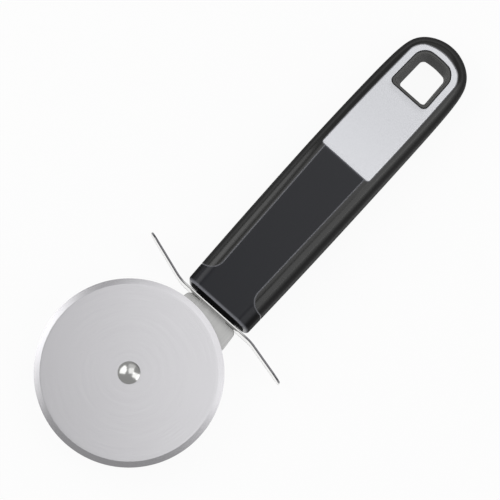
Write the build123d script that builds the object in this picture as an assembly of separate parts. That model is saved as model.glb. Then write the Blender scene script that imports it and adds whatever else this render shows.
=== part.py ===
from build123d import *
import os

# Pizza cutter wheel, in millimetres.
# It lies on the flat back of its handle: +Z is up, out of the front face, and +X runs from the
# wheel to the hanging end. The origin is the middle of the handle's flat back.

# Handle, outside
handle_length = 120.7
handle_width = 28.4
widest_from_tail = 47.9
front_height = 17.5
crest_height = 18.5
crest_to_plate = 7.2
tail_height = 12.0
face_round = 4.8
back_round = 4.0
front_round = 1.2
# Guide points of each side's two curves, before and after the widest place, both from front to tail:
# share of the curve's length, share of the half width.
front_side_shares = [(0.0, 0.942), (0.279, 0.978), (0.577, 1.0), (1.0, 1.0)]
rear_side_shares = [(0.0, 1.0), (0.975, 1.0), (0.785, 0.958), (1.0, 0.754), (1.0, 0.0)]
# The rounding along the long edges takes at most this share of the thin end's height.
round_limit_share = 0.42

# Handle core and the soft grip moulded round it
collar_length = 7.2
panel_front_width = 15.8
panel_rear_width = 18.0
grip_end_round = 5.0
grip_wall = 2.6
rib_bottom = 4.2
rib_height = 3.6

# Inlay plate
plate_to_tail = 4.3
plate_length = 51.2
plate_front_width = 21.1
plate_rear_width = 18.8
plate_side_bulge = 0.3
plate_end_bulge = 3.2
plate_near_round = 1.0
plate_far_round = 3.5
plate_thickness = 0.8
plate_ledge = 1.0

# Hanging eyelet, a funnel that is narrowest at its waist
eyelet_from_tail = 15.1
eyelet_length = 17.4
eyelet_width = 16.1
eyelet_far_width = 15.0
eyelet_end_bulge = 0.9
eyelet_near_round = 2.0
eyelet_far_round = 4.0
eyelet_lip = 0.6
eyelet_waist_inset = 2.5
eyelet_waist_height = 3.2
eyelet_back_inset = 1.5
eyelet_gap = 0.15

# Wheel
blade_diameter = 65.0
blade_thickness = 1.0
bevel_width = 2.0
edge_land = 0.15
blade_to_guard = 2.47
axle_offset = 6.9

# Rivet and washers
shank_diameter = 4.0
head_diameter = 7.8
head_height = 1.9
head_rim = 0.35
tail_head_diameter = 6.6
tail_head_height = 1.2
spacer_diameter = 15.0
spacer_thickness = 0.8
washer_diameter = 10.0
washer_thickness = 0.6

# Strap: a stamped arm with shoulders and a tang
strap_thickness = 1.5
strap_width = 21.4
strap_end_radius = 8.5
strap_flare_length = 9.0
strap_flare = 0.9
strap_flare_round = 12.0
strap_edge_round = 0.25
shoulder_round = 2.0
tang_width = 12.0
tang_length = 46.0
tang_end_round = 3.0
tang_hole_diameter = 5.0
tang_hole_pitch = 14.0
tang_hole_from_end = 8.0

# Finger guard: a thin strip across the front of the handle, one wing bent each way
guard_thickness = 0.76
guard_depth = 11.2
guard_span = 67.0
guard_handle_bend_from_axis = 15.0
guard_blade_bend_from_axis = 17.0
guard_handle_wing_lean = 5.7
guard_blade_wing_lean = 3.8
guard_bend_radius = 16.0
guard_tip_round = 4.0

# Nose that the guard is clamped on
nose_length = 1.37
nose_width = 17.0
nose_height = 9.0
nose_round = 1.5

# Fits
running_clearance = 0.05
axial_play = 0.1
fixed_clearance = 0.02
slot_clearance = 0.15
overrun = 3.0

# Places that follow from the sizes above
front_x = -handle_length / 2
tail_x = handle_length / 2
widest_x = tail_x - widest_from_tail
plate_x = tail_x - plate_to_tail - plate_length
crest_x = plate_x - crest_to_plate
eyelet_x = tail_x - eyelet_from_tail
middle_z = front_height / 2
strap_bottom = middle_z - strap_thickness / 2
strap_top = middle_z + strap_thickness / 2
blade_bottom = strap_top + spacer_thickness + axial_play
head_bottom = blade_bottom + blade_thickness + axial_play
guard_rear_x = front_x - nose_length
guard_front_x = guard_rear_x - guard_thickness
axle_x = guard_front_x - blade_to_guard - blade_diameter / 2
hole_radius = shank_diameter / 2 + fixed_clearance
edge_limit = tail_height * round_limit_share


def block(x_low, x_high, y_low, y_high, z_low, z_high):
    """Box between two corners."""
    solid = Box(x_high - x_low, y_high - y_low, z_high - z_low, align=(Align.MIN, Align.MIN, Align.MIN))
    return Pos(x_low, y_low, z_low) * solid


def ring(outer_radius, inner_radius, bottom, height):
    """Flat washer on the axle, standing on bottom."""
    flat = Circle(outer_radius) - Circle(inner_radius)
    return Pos(axle_x, axle_offset, bottom) * extrude(flat, height)


def crown(radius, edge_z, top_z):
    """Arc of a low spherical cap, from its top on the axis to its edge."""
    return TangentArc((0, top_z), (radius, edge_z), tangent=(1, 0))


def side_curve(start_x, length, shares, half_width):
    """One curve of the handle's side: a Bezier curve through its first and last guide points."""
    return Bezier(*[(start_x + along * length, wide * half_width) for along, wide in shares])


def handle_outline(inset):
    """Outline of the handle seen from the front, drawn inwards by inset on both sides and at the tail."""
    half_width = handle_width / 2 - inset
    curves = []
    for half in (half_width, -half_width):
        curves.append(side_curve(front_x, widest_x - front_x, front_side_shares, half))
        curves.append(side_curve(widest_x, tail_x - inset - widest_x, rear_side_shares, half))
    front = Line(curves[0] @ 0, curves[2] @ 0)
    return make_face(curves + [front])


def under_face(drop):
    """Everything between the back and the handle's front face, with that face lowered by drop."""
    front_z = front_height - drop
    crest_z = crest_height - drop
    tail_z = tail_height - drop
    half_rise = (crest_x - front_x) / 2
    third_fall = (tail_x - crest_x) / 3
    rise = Bezier((front_x, front_z), (front_x + half_rise, crest_z), (crest_x, crest_z))
    fall = Bezier((crest_x, crest_z), (crest_x + third_fall, crest_z),
                  (tail_x - third_fall, tail_z), (tail_x, tail_z))
    rest = Polyline((tail_x, tail_z), (tail_x, 0), (front_x, 0), (front_x, front_z))
    return extrude(Plane.XZ * make_face(rise + fall + rest), handle_width / 2 + overrun, both=True)


def handle_body():
    """The whole handle as one rounded block, before it is split into its pieces."""
    body = extrude(handle_outline(0), crest_height + overrun) & under_face(0)
    curved = body.edges().filter_by(GeomType.LINE, reverse=True)
    back_edges = curved.group_by(Axis.Z)[0]
    body = fillet(curved - back_edges, min(face_round, edge_limit))
    curved = body.edges().filter_by(GeomType.LINE, reverse=True)
    body = fillet(curved.group_by(Axis.Z)[0], min(back_round, edge_limit))
    front_edges = body.edges().filter_by_position(Axis.X, front_x, front_x)
    return fillet(front_edges, min(front_round, edge_limit))


def plate_outline(inset):
    """Outline of the inlay plate, drawn inwards by inset at its bowed sides and its bowed far end."""
    far_x = plate_x + plate_length - inset
    corner_x = far_x - plate_end_bulge
    middle_x = (plate_x + corner_x) / 2
    front_half = plate_front_width / 2 - inset
    rear_half = plate_rear_width / 2 - inset
    shrink_share = rear_half / (plate_rear_width / 2)
    middle_half = (front_half + rear_half) / 2 + plate_side_bulge
    near = Line((plate_x, -front_half), (plate_x, front_half))
    left = ThreePointArc((plate_x, front_half), (middle_x, middle_half), (corner_x, rear_half))
    far = ThreePointArc((corner_x, rear_half), (far_x, 0), (corner_x, -rear_half))
    right = ThreePointArc((corner_x, -rear_half), (middle_x, -middle_half), (plate_x, -front_half))
    face = make_face(near + left + far + right)
    face = fillet(face.vertices().group_by(Axis.X)[-1], plate_far_round * shrink_share)
    return fillet(face.vertices().group_by(Axis.X)[0], plate_near_round)


def eyelet_outline(inset):
    """Outline of the hanging hole, drawn inwards by inset: a rounded square with a bowed far side."""
    near_x = eyelet_x - eyelet_length / 2 + inset
    far_x = eyelet_x + eyelet_length / 2 - inset
    corner_x = far_x - eyelet_end_bulge
    near_half = eyelet_width / 2 - inset
    far_half = eyelet_far_width / 2 - inset
    shrink_share = near_half / (eyelet_width / 2)
    sides = Polyline((corner_x, far_half), (near_x, near_half), (near_x, -near_half), (corner_x, -far_half))
    far = ThreePointArc((corner_x, -far_half), (far_x, 0), (corner_x, far_half))
    face = make_face(sides + far)
    face = fillet(face.vertices().group_by(Axis.X)[-1], eyelet_far_round * shrink_share)
    return fillet(face.vertices().group_by(Axis.X)[0], eyelet_near_round * shrink_share)


def core_block():
    """Hard core of the handle: front collar, panel, plate bed and the rib that locks the grip."""
    collar_x = front_x + collar_length
    side_y = handle_width / 2 + overrun
    panel_front = panel_front_width / 2
    panel_rear = panel_rear_width / 2
    panel_end_x = plate_x + plate_near_round
    half = [(front_x - overrun, side_y), (collar_x, side_y), (collar_x, panel_front), (panel_end_x, panel_rear)]
    other_half = [(x, -y) for x, y in reversed(half)]
    panel = make_face(Polyline(half + other_half, close=True))
    inner_corners = [v for v in panel.vertices() if abs(v.Y) == panel_front]
    panel = fillet(inner_corners, grip_end_round)
    plan = panel + plate_outline(plate_ledge)
    rib = Pos(0, 0, rib_bottom) * extrude(handle_outline(grip_wall), rib_height)
    return (handle_body() & extrude(plan, crest_height + overrun)) + rib


def nose():
    """Boss on the handle's front end that the guard is clamped on."""
    flat = RectangleRounded(nose_width, nose_height, nose_round)
    face = Plane((front_x, 0, middle_z), x_dir=(0, 1, 0), z_dir=(-1, 0, 0)) * flat
    return extrude(face, nose_length)


def plate_bed(depth):
    """Everything above a surface that lies depth below the front face, inside the plate's outline."""
    column = extrude(plate_outline(0), crest_height + overrun)
    return column - under_face(depth)


def make_handle_core():
    """Core with its tang socket, plate bed and eyelet hole cut out."""
    core = core_block() + nose() - strap_blank() - plate_bed(plate_thickness)
    return core - extrude(eyelet_outline(0), crest_height + overrun)


def make_soft_grip():
    """Soft grip along both sides and round the hanging end, with a ledge under the plate's edge."""
    return handle_body() - core_block() - plate_bed(plate_thickness)


def make_inlay_plate():
    """Sheet-metal plate that follows the front face, with a window for the eyelet."""
    sheet = plate_bed(plate_thickness) & under_face(0)
    return sheet - extrude(eyelet_outline(-eyelet_gap), crest_height + overrun)


def funnel(low_z, low_inset, high_z, high_inset):
    """Tapered hole between two levels."""
    low = Pos(0, 0, low_z) * eyelet_outline(low_inset)
    high = Pos(0, 0, high_z) * eyelet_outline(high_inset)
    return loft([low, high])


def make_hang_eyelet():
    """Eyelet through the handle: square outside, funnel-shaped from both faces to its waist."""
    block_solid = extrude(eyelet_outline(0), crest_height + overrun) & under_face(0)
    depth = tail_height - eyelet_waist_height
    front_slope = (eyelet_waist_inset - eyelet_lip) / depth
    front_z = crest_height + overrun
    front_inset = eyelet_lip - front_slope * (front_z - tail_height)
    front_funnel = funnel(eyelet_waist_height, eyelet_waist_inset, front_z, front_inset)
    back_slope = (eyelet_waist_inset - eyelet_back_inset) / eyelet_waist_height
    back_inset = eyelet_back_inset - back_slope * overrun
    back_funnel = funnel(-overrun, back_inset, eyelet_waist_height, eyelet_waist_inset)
    return block_solid - front_funnel - back_funnel


def make_blade():
    """Cutting wheel: a flat disc with a bevel on both sides and a bore for the rivet."""
    radius = blade_diameter / 2
    bore_radius = shank_diameter / 2 + running_clearance
    half = blade_thickness / 2
    land = edge_land / 2
    profile = Polyline(
        (bore_radius, -half), (radius - bevel_width, -half), (radius, -land),
        (radius, land), (radius - bevel_width, half), (bore_radius, half), close=True)
    disc = revolve(Plane.XZ * make_face(profile), Axis.Z)
    return Pos(axle_x, axle_offset, blade_bottom + half) * disc


def make_axle_rivet():
    """Rivet that carries the wheel: domed head in front, shank, peened head behind the washer."""
    head_radius = head_diameter / 2
    shank_radius = shank_diameter / 2
    peened_radius = tail_head_diameter / 2
    peened_z = strap_bottom - washer_thickness
    head_edge_z = head_bottom + head_rim
    head_top_z = head_bottom + head_height
    peened_edge_z = peened_z - head_rim
    peened_top_z = peened_z - tail_head_height
    side = Polyline(
        (peened_radius, peened_edge_z), (peened_radius, peened_z), (shank_radius, peened_z),
        (shank_radius, head_bottom), (head_radius, head_bottom), (head_radius, head_edge_z))
    axis = Line((0, head_top_z), (0, peened_top_z))
    front = crown(head_radius, head_edge_z, head_top_z)
    back = crown(peened_radius, peened_edge_z, peened_top_z)
    profile = make_face(side + front + axis + back)
    return Pos(axle_x, axle_offset) * revolve(Plane.XZ * profile, Axis.Z)


def make_spacer_washer():
    """Plastic washer that keeps the wheel off the strap."""
    return ring(spacer_diameter / 2, hole_radius, strap_top, spacer_thickness)


def make_rear_washer():
    """Steel washer behind the strap, under the peened end of the rivet."""
    return ring(washer_diameter / 2, hole_radius, strap_bottom - washer_thickness, washer_thickness)


def strap_outline():
    """Outline of the stamped strap: round end at the axle, wide shoulders, tang into the handle."""
    half = strap_width / 2
    flare_x = guard_front_x - strap_flare_length
    base = Polygon(
        (guard_front_x, half), (flare_x, half), (flare_x, -half - strap_flare), (guard_front_x, -half),
        align=None)
    boss = Pos(axle_x, axle_offset) * Circle(strap_end_radius)
    arm = make_hull(base.edges() + boss.edges())
    shoulders = arm.vertices().group_by(Axis.X)[-1]
    arm = fillet(shoulders, shoulder_round)
    flare_corner = arm.vertices().sort_by(Axis.Y)[0]
    arm = fillet(flare_corner, strap_flare_round)
    tang_end_x = front_x + tang_length
    tang_start_x = guard_front_x - overrun
    tang = Polygon(
        (tang_start_x, -tang_width / 2), (tang_end_x, -tang_width / 2),
        (tang_end_x, tang_width / 2), (tang_start_x, tang_width / 2), align=None)
    tang = fillet(tang.vertices().group_by(Axis.X)[-1], tang_end_round)
    return arm + tang


def strap_blank():
    """Strap as cut from sheet, with its rivet hole and the two holes that lock the tang in the core."""
    outline = strap_outline() - Pos(axle_x, axle_offset) * Circle(hole_radius)
    last_hole_x = front_x + tang_length - tang_hole_from_end
    for hole_x in (last_hole_x, last_hole_x - tang_hole_pitch):
        outline = outline - Pos(hole_x, 0) * Circle(tang_hole_diameter / 2)
    return Pos(0, 0, strap_bottom) * extrude(outline, strap_thickness)


def make_strap():
    """Strap with the edges of its outline rounded over."""
    blank = strap_blank()
    faces = blank.faces().sort_by(Axis.Z)
    edges = faces[0].outer_wire().edges() + faces[-1].outer_wire().edges()
    return fillet(edges, strap_edge_round)


def guard_line(x):
    """Run of the guard seen from the front: straight across the handle, one wing leaning each way."""
    handle_tip = (x + guard_handle_wing_lean, guard_span / 2)
    handle_bend = (x, guard_handle_bend_from_axis)
    blade_bend = (x, -guard_blade_bend_from_axis)
    blade_tip = (x - guard_blade_wing_lean, -guard_span / 2)
    return FilletPolyline(handle_tip, handle_bend, blade_bend, blade_tip, radius=guard_bend_radius)


def make_finger_guard():
    """Finger guard: a strip on edge with rounded tips and a slot for the tang."""
    front = guard_line(guard_front_x)
    rear = guard_line(guard_rear_x)
    ends = Line(front @ 0, rear @ 0) + Line(front @ 1, rear @ 1)
    strip = extrude(make_face(front + rear + ends), guard_depth / 2, both=True)
    flat = Plane.YZ * RectangleRounded(guard_span, guard_depth, guard_tip_round)
    strip = strip & extrude(flat, handle_length, both=True)
    slot_half_width = tang_width / 2 + slot_clearance
    slot = block(guard_front_x - overrun, guard_rear_x + overrun, -slot_half_width, slot_half_width,
                 strap_bottom - slot_clearance, strap_top + slot_clearance)
    return Pos(0, 0, middle_z) * strip - slot


pieces = {
    "blade": make_blade,
    "axle_rivet": make_axle_rivet,
    "spacer_washer": make_spacer_washer,
    "rear_washer": make_rear_washer,
    "strap": make_strap,
    "finger_guard": make_finger_guard,
    "handle_core": make_handle_core,
    "soft_grip": make_soft_grip,
    "inlay_plate": make_inlay_plate,
    "hang_eyelet": make_hang_eyelet,
}

os.makedirs("parts", exist_ok=True)
for node, make in pieces.items():
    export_step(make(), f"parts/{node}.step")
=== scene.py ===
"""Looks of a pizza cutter wheel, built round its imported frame.

Shapes are worked out in millimetres in the part's own frame: +Z is up, out of the handle's front face, and
+X runs from the wheel to the hanging end. Meshes are written to Blender in metres.
"""

import logging
import math
from dataclasses import dataclass
from enum import Enum

import bmesh
import bpy
import numpy as np
from mathutils import Matrix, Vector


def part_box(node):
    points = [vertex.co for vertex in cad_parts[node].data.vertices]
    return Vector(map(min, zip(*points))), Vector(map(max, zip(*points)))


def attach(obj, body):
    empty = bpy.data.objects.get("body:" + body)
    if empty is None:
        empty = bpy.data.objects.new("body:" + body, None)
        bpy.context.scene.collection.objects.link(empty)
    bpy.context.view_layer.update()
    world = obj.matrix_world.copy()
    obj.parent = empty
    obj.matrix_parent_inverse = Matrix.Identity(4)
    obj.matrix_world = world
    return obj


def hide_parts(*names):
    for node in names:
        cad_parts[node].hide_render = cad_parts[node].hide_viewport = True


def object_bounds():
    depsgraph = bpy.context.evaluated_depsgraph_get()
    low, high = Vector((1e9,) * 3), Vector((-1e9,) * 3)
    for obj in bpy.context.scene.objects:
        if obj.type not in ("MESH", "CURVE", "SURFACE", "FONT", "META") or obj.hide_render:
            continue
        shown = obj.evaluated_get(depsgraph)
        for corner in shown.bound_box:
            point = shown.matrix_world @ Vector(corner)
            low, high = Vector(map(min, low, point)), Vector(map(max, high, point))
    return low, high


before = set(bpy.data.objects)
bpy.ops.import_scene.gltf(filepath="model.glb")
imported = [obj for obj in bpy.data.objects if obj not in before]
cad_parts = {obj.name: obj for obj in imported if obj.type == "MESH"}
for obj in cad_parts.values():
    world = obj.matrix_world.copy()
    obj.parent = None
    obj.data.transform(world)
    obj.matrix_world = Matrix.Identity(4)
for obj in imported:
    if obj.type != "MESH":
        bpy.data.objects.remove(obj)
CAD_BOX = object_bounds()

MM = 0.001
RIGHT_ANGLE = math.pi / 2
TINY = 1e-12
DEGREES_AN_HOUR = 30
# Rows of points beside a seam stand this far from it, in millimetres, so that each falls on one side of it.
SEAM_STEP = 0.01
# Numbers of the Mix node's two colours and of its mixed colour.
MIX_A, MIX_B, MIXED = 6, 7, 2

Array = np.ndarray
Object = bpy.types.Object
Tree = bpy.types.NodeTree
Socket = bpy.types.NodeSocket
Guides = tuple[tuple[float, float], ...]
log = logging.getLogger("cutter")


class Face(Enum):
    """Side of the handle that a surface belongs to."""

    FRONT = "front"
    BACK = "back"


class Grain(Enum):
    """Direction in which a metal surface was brushed."""

    ALONG_X = "along x"
    ALONG_Y = "along y"
    ROUND_AXLE = "round the axle"


# Shape functions


@dataclass(frozen=True)
class NodeBox:
    """Box of a CAD node at rest, in millimetres.

    Attributes:
        low: Its corner with the least coordinates.
        high: Its corner with the greatest.
    """

    low: Array
    high: Array

    @classmethod
    def of(cls, node: str) -> "NodeBox":
        """Reads a node's box from the frame."""
        low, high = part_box(node)
        return cls(np.array(low) / MM, np.array(high) / MM)

    @property
    def centre(self) -> Array:
        """Middle of the box."""
        return (self.low + self.high) / 2

    @property
    def size(self) -> Array:
        """Length of the box along each axis."""
        return self.high - self.low


def bezier(guides: Array, share: Array) -> Array:
    """Bezier curve: the sum of its guide points, each times its Bernstein weight.

    Args:
        guides: Guide points, one a row.
        share: Places along the curve, from 0 to 1.

    Returns:
        One point a row for each place.
    """
    order = len(guides) - 1
    weights = [math.comb(order, i) * share**i * (1 - share) ** (order - i) for i in range(order + 1)]
    return np.stack(weights, axis=-1) @ guides


def smooth_step(share: Array) -> Array:
    """Rise from 0 to 1 that starts and ends level, as 3 s^2 - 2 s^3."""
    return share**2 * (3 - 2 * share)


def rounding(radius: float | Array, distance: Array) -> Array:
    """How far a rounded edge lies below its flat, at a distance in from it: radius less a quarter circle."""
    short = np.clip(radius - distance, 0, radius)
    return radius - np.sqrt(np.maximum(radius**2 - short**2, 0))


def quarter(count: int) -> Array:
    """Shares from 0 to 1 that crowd towards 0, as the sine of equal angles does, read from its flat end."""
    return 1 - np.cos(np.linspace(0, RIGHT_ANGLE, count))


def edge_insets(radius: float, count: int) -> Array:
    """Insets of the rings that round an edge, from the edge inwards: a quarter circle by equal angles."""
    return radius * (1 - np.sin(np.linspace(0, RIGHT_ANGLE, count)))[::-1]


def unit(vectors: Array) -> Array:
    """Vectors, one a row, brought to a length of 1."""
    return vectors / np.linalg.norm(vectors, axis=-1, keepdims=True)


def lifted(plan: Array, height: float | Array) -> Array:
    """Points in plan with their height added, one for all or one for each."""
    level = np.broadcast_to(height, plan.shape[:-1])
    return np.concatenate([plan, level[..., None]], axis=-1)


def fillet_arc(before: Array, corner: Array, after: Array, radius: float, count: int) -> Array:
    """Arc that rounds a corner: it touches both sides, and its centre lies on their bisector.

    Args:
        before: A point on the side that arrives at the corner.
        corner: The corner.
        after: A point on the side that leaves it.
        radius: Radius of the arc.
        count: Number of points on it.

    Returns:
        The arc's points, one a row.
    """
    back, ahead = unit(before - corner), unit(after - corner)
    half = math.acos(float(np.clip(back @ ahead, -1, 1))) / 2
    centre = corner + unit(back + ahead) * radius / math.sin(half)
    start = corner + back * radius / math.tan(half) - centre
    turn = math.copysign(1.0, float(cross(ahead, back)))
    angle = np.linspace(0, math.pi - 2 * half, count)[:, None] * turn
    across = np.array([-start[1], start[0]])
    return centre + start * np.cos(angle) + across * np.sin(angle)


def rounded_loop(corners: Array, radii: list[float], side_count: int, corner_count: int) -> Array:
    """Closed outline of a polygon with rounded corners, with as many points on each side and each corner.

    Args:
        corners: The polygon's corners, one a row.
        radii: Radius of each corner.
        side_count: Number of points on each straight side.
        corner_count: Number of points on each corner's arc.

    Returns:
        The outline's points, in order, with no repeated point.
    """
    before, after = np.roll(corners, 1, axis=0), np.roll(corners, -1, axis=0)
    arcs = [fillet_arc(*places, corner_count) for places in zip(before, corners, after, radii)]
    share = np.linspace(0, 1, side_count + 2)[1:-1, None]
    sides = [arc[-1] + (following[0] - arc[-1]) * share for arc, following in zip(arcs, arcs[1:] + arcs[:1])]
    return np.concatenate([part for pair in zip(arcs, sides) for part in pair])


def rings_between(outer: list[Array], inner: list[Array], steps: int) -> Array:
    """Rings from an outline to a hole in it: each edge's own rings, and even steps between them."""
    shares = np.linspace(0, 1, steps + 1)[1:-1, None, None]
    return np.concatenate([outer, outer[-1] + (inner[0] - outer[-1]) * shares, inner])


def cross(a: Array, b: Array) -> Array:
    """Cross product of plan vectors, as a plain number."""
    return a[..., 0] * b[..., 1] - a[..., 1] * b[..., 0]


def ray_reach(origins: Array, directions: Array, line: Array) -> Array:
    """How far each ray runs before it first meets a line of points.

    Each ray is solved against each straight step of the line with two cross products.

    Args:
        origins: Start of each ray, one a row.
        directions: Unit direction of each ray.
        line: Points of the line.

    Returns:
        The length of each ray.
    """
    slack = 1e-6
    start, step = line[:-1][None], np.diff(line, axis=0)[None]
    gap, ahead = start - origins[:, None], directions[:, None]
    scale = cross(ahead, step)
    crossing = np.abs(scale) >= TINY
    safe = np.where(crossing, scale, 1.0)
    reach, share = cross(gap, step) / safe, cross(gap, ahead) / safe
    met = crossing & (share >= -slack) & (share <= 1 + slack) & (reach > 0)
    return np.where(met, reach, np.inf).min(axis=1)


def line_distance(points: Array, line: Array) -> Array:
    """Distance of each point from a line of points, by the nearest place on each straight step.

    Args:
        points: Plan points, one a row.
        line: Points of the line.

    Returns:
        The distance of each point.
    """
    start, step = line[:-1][None], np.diff(line, axis=0)[None]
    gap = points[:, None] - start
    share = np.clip((gap * step).sum(-1) / np.maximum((step * step).sum(-1), TINY), 0, 1)
    return np.linalg.norm(gap - share[..., None] * step, axis=-1).min(axis=1)


# Mesh functions


def grid_faces(rows: int, columns: int, close_rows: bool, close_columns: bool) -> Array:
    """Quads of a grid of points, by index arithmetic on its rows and columns.

    Args:
        rows: Number of rows of points.
        columns: Number of columns.
        close_rows: Whether the last row joins the first.
        close_columns: Whether the last column joins the first.

    Returns:
        One quad a row, as point numbers.
    """
    row_steps, column_steps = rows - (not close_rows), columns - (not close_columns)
    row, column = np.meshgrid(np.arange(row_steps), np.arange(column_steps), indexing="ij")
    next_row, next_column = (row + 1) % rows, (column + 1) % columns
    corners = [(row, column), (next_row, column), (next_row, next_column), (row, next_column)]
    return np.stack([r * columns + c for r, c in corners], axis=-1).reshape(-1, 4)


@dataclass(frozen=True)
class PieceMaker:
    """Writes surfaces to Blender meshes.

    Attributes:
        weld_mm: Points nearer than this become one, which closes poles and seams.
        thin_share: Edges under this share of it are dissolved.
        crease_degrees: Faces that meet at a larger angle keep a sharp edge.
        cap_shares: Sizes of the rows that close a tube, as shares of its end section.
    """

    weld_mm: float = 0.0004
    thin_share: float = 0.1
    crease_degrees: float = 38.0
    cap_shares: tuple[float, ...] = (0.97, 0.6, 0.0)

    def make(self, name: str, points: Array, faces: Array | list, **marks: Array) -> Object:
        """Makes an object with its place in its mesh and its faces pointing outwards.

        Args:
            name: Name of the piece.
            points: Its points in millimetres, one a row.
            faces: Its faces, as point numbers.
            marks: Values from 0 to 1 at the points that its material reads, such as how much painted
                highlight each has.

        Returns:
            The object, linked to the scene.
        """
        mesh = bpy.data.meshes.new(name)
        mesh.from_pydata((points * MM).tolist(), [], [list(map(int, face)) for face in faces])
        for mark, values in marks.items():
            layer = mesh.attributes.new(mark, "FLOAT", "POINT")
            layer.data.foreach_set("value", values.astype(np.float32).ravel())
        shell = bmesh.new()
        shell.from_mesh(mesh)
        weld = self.weld_mm * MM
        bmesh.ops.remove_doubles(shell, verts=shell.verts, dist=weld)
        bmesh.ops.dissolve_degenerate(shell, edges=shell.edges, dist=weld * self.thin_share)
        bmesh.ops.recalc_face_normals(shell, faces=shell.faces)
        shell.to_mesh(mesh)
        shell.free()
        mesh.polygons.foreach_set("use_smooth", np.ones(len(mesh.polygons), bool))
        mesh.set_sharp_from_angle(angle=math.radians(self.crease_degrees))
        piece = bpy.data.objects.new(name, mesh)
        bpy.context.scene.collection.objects.link(piece)
        return piece

    def grid(
        self, name: str, rows: Array, close_rows: bool, close_columns: bool = True, **marks: Array
    ) -> Object:
        """Makes an object from points, as rows by columns by 3, whose rows and columns may close."""
        faces = grid_faces(*rows.shape[:2], close_rows, close_columns)
        return self.make(name, rows.reshape(-1, 3), faces, **marks)

    def tube(self, name: str, sections: Array, flank_at_ends: float, **marks: Array) -> Object:
        """Makes an object from closed sections: past each end, more rows shrink to the section's middle.

        Args:
            name: Name of the piece.
            sections: The sections, as sections by points by 3.
            flank_at_ends: Painted shade mark on the faces that close both ends.
            marks: Its marks, as sections by points.

        Returns:
            The object.
        """
        shares = np.array(self.cap_shares)[:, None, None]
        middles = sections.mean(axis=1)
        start = middles[0] + (sections[0] - middles[0]) * shares[::-1]
        end = middles[-1] + (sections[-1] - middles[-1]) * shares
        for mark, values in marks.items():
            cap = np.full((len(shares), sections.shape[1]), flank_at_ends if mark == "flank" else 0.0)
            marks[mark] = np.concatenate([cap, values, cap])
        return self.grid(name, np.concatenate([start, sections, end]), False, **marks)

    def turned(self, name: str, profile: Array, axle: Array, steps: int) -> Object:
        """Turns a profile round the axle: each point (radius, z) becomes a circle.

        Args:
            name: Name of the piece.
            profile: Closed profile, or one that starts and ends on the axis, as (radius, z) rows.
            axle: Place of the axis in plan.
            steps: Number of steps round the circle.

        Returns:
            The object.
        """
        angle = np.linspace(0, 2 * math.pi, steps, endpoint=False)[:, None]
        circle = np.stack([np.cos(angle), np.sin(angle)], axis=-1)
        plan = axle + profile[:, :1] * circle
        return self.grid(name, lifted(plan, profile[:, 1]), True, bool(profile[0, 0] > 0))


MAKER = PieceMaker()


# Material functions


def linear(colour: str) -> tuple[float, float, float, float]:
    """Turns an sRGB hex colour to linear light, by the curve of the sRGB standard.

    Args:
        colour: The colour, such as "#31323a".

    Returns:
        Linear red, green and blue, and an alpha of 1.
    """
    values = np.array([int(colour[i : i + 2], 16) for i in (1, 3, 5)]) / 255
    curve = np.where(values <= 0.04045, values / 12.92, ((values + 0.055) / 1.055) ** 2.4)
    return (*map(float, curve), 1.0)


def add_node(tree: Tree, kind: str, inputs: dict | None = None, **settings: str) -> bpy.types.Node:
    """Adds a node with its settings and inputs.

    Args:
        tree: The node tree.
        kind: The node's type, without its ShaderNode prefix.
        inputs: Value or output socket for each named or numbered input.
        settings: Properties of the node.

    Returns:
        The node.
    """
    node = tree.nodes.new("ShaderNode" + kind)
    for key, value in settings.items():
        setattr(node, key, value)
    for key, value in (inputs or {}).items():
        if isinstance(value, Socket):
            tree.links.new(value, node.inputs[key])
        else:
            node.inputs[key].default_value = value
    return node


def new_material(name: str) -> tuple[bpy.types.Material, Tree]:
    """Makes an empty node material.

    Args:
        name: Its name.

    Returns:
        The material and its node tree.
    """
    material = bpy.data.materials.new(name)
    material.use_nodes = True
    material.node_tree.nodes.clear()
    return material, material.node_tree


def output_surface(tree: Tree, shader: Socket) -> None:
    """Links a shader to the material's surface."""
    add_node(tree, "OutputMaterial", {"Surface": shader})


def relief(
    tree: Tree, vector: Socket, scale: float, detail: float, depth_mm: float
) -> tuple[Socket, Socket]:
    """Noise over a surface, and the bump that it makes there.

    Args:
        tree: The node tree.
        vector: Coordinates that the noise is read at.
        scale: Number of its patches in a unit of them.
        detail: Number of finer layers.
        depth_mm: Height of the bump.

    Returns:
        The noise and the bumped normal.
    """
    noise = add_node(tree, "TexNoise", {"Vector": vector, "Scale": scale, "Detail": detail}).outputs["Fac"]
    bump = add_node(tree, "Bump", {"Height": noise, "Strength": 1.0, "Distance": depth_mm * MM})
    return noise, bump.outputs["Normal"]


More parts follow.
